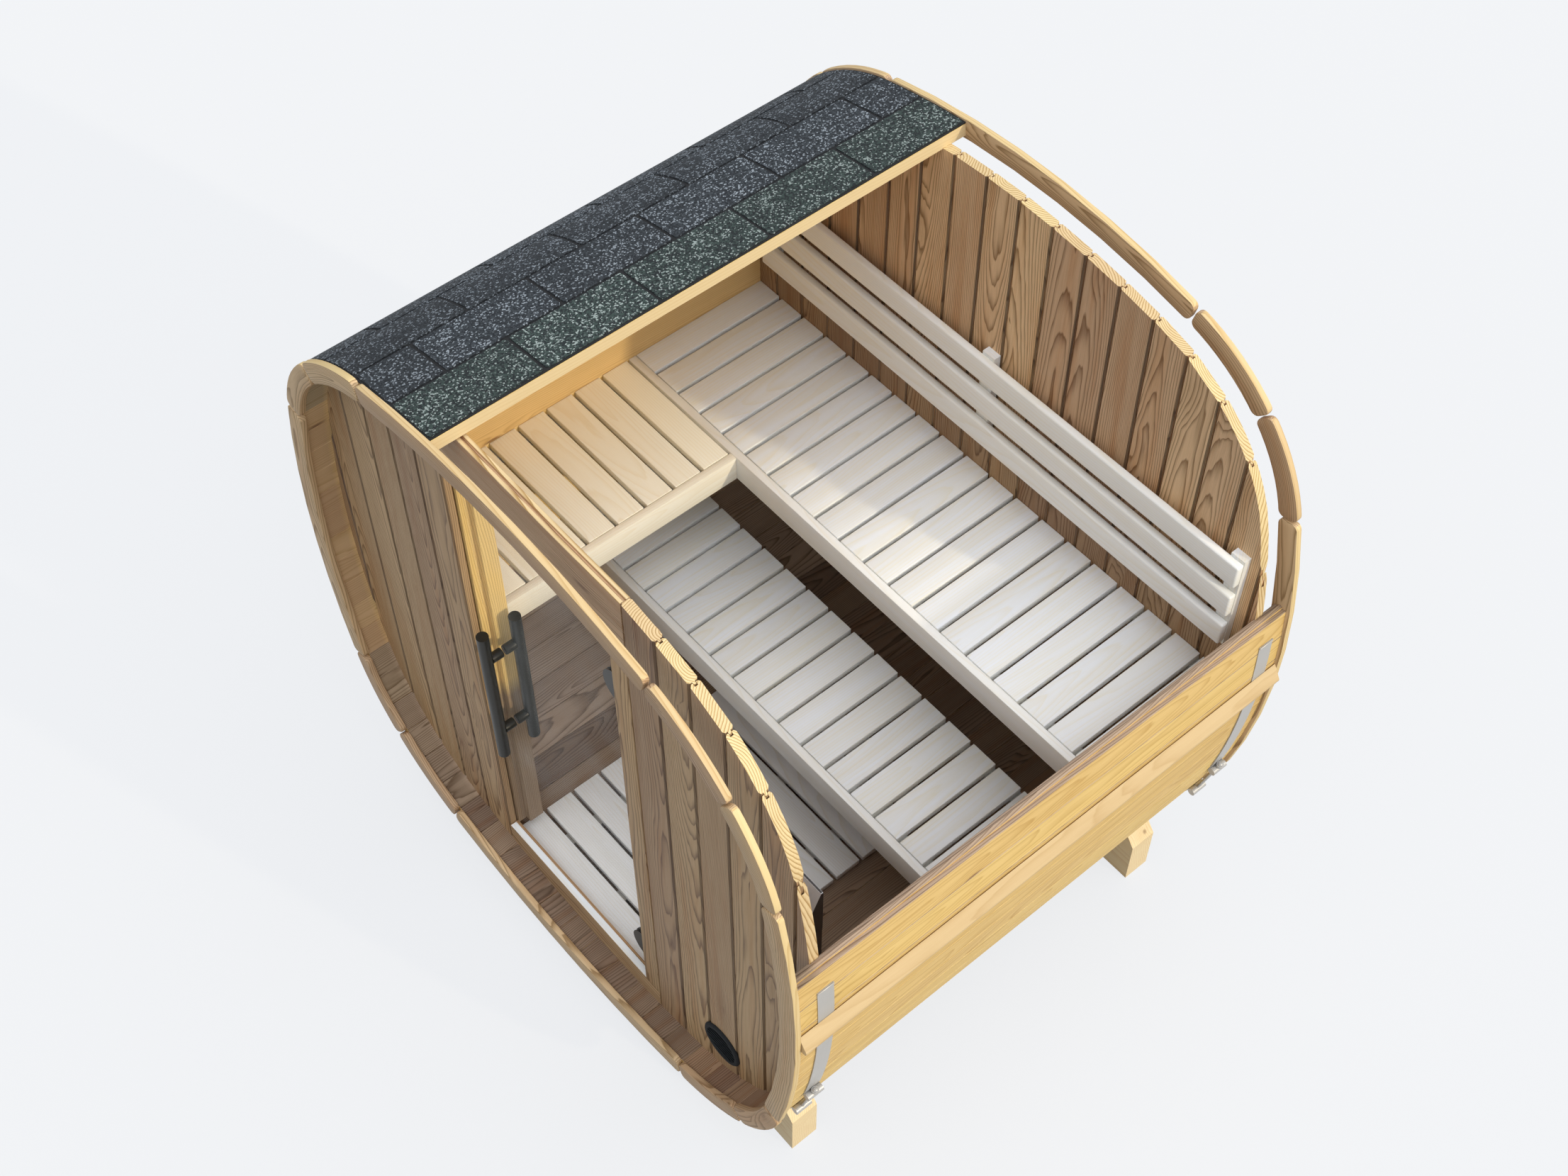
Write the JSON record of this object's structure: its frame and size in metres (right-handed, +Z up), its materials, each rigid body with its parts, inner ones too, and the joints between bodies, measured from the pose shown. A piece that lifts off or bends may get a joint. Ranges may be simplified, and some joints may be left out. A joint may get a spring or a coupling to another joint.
{
  "type": "barrel sauna",
  "caption": "Garden barrel sauna of rounded square section, cut away at the upper right to show slatted benches inside, with a hinged glass door, shingled roof and cradle feet",
  "frame": {"origin": "on the ground under the middle of the barrel", "axes": "X to the right as seen from the door, Y from the door to the back wall, Z up"},
  "size_m": [2.0932, 1.672, 2.118],
  "materials": {
    "cradle_wood": "planed",
    "stave_wood": "planed",
    "ring_wood": "planed",
    "wall_wood": "planed",
    "bench_wood": "planed",
    "shingle": "granulated",
    "clear_glass": "polished",
    "dark_metal": "satin",
    "black_plastic": "matte",
    "heater_dark": "satin",
    "heater_light": "satin",
    "band_steel": "brushed"
  },
  "bodies": {
    "frame": {"front_cradle": "cradle_wood", "rear_cradle": "cradle_wood", "left_staves": "stave_wood", "bottom_staves": "stave_wood", "right_staves": "stave_wood", "roof_staves": "stave_wood", "top_left_staves": "stave_wood", "bottom_left_staves": "stave_wood", "bottom_right_staves": "stave_wood", "shingle_roof": "shingle", "front_ring_sides": "ring_wood", "front_ring_corners": "ring_wood", "rear_ring_sides": "ring_wood", "rear_ring_corners": "ring_wood", "front_wall_left": "wall_wood", "front_wall_right": "wall_wood", "door_header": "wall_wood", "door_jamb_left": "wall_wood", "door_jamb_right": "wall_wood", "door_sill": "wall_wood", "jamb_hinge_plates": "dark_metal", "vent_cover": "black_plastic", "back_wall": "wall_wood", "upper_bench_slats": "bench_wood", "upper_bench_rail": "bench_wood", "side_bench_slats": "bench_wood", "side_bench_rail": "bench_wood", "lower_bench_slats": "bench_wood", "lower_bench_rail": "bench_wood", "bench_bearers": "bench_wood", "backrest_slats": "bench_wood", "backrest_posts": "bench_wood", "floor_slats": "bench_wood", "floor_bearers": "bench_wood", "heater_body": "heater_dark", "heater_deflector": "heater_light", "steel_bands": "band_steel", "tension_rods": "band_steel", "right_batten": "cradle_wood", "left_batten": "cradle_wood"},
    "door": {"door_glass": "clear_glass", "door_handle": "dark_metal", "door_hinge_leaves": "dark_metal"}
  },
  "joints": [
    {"name": "door_hinge", "type": "hinge", "parent": "frame", "child": "door", "pos_m": [0.268, -0.706, 1.033], "axis": [0, 0, 1], "range_deg": [0, 90]}
  ]
}
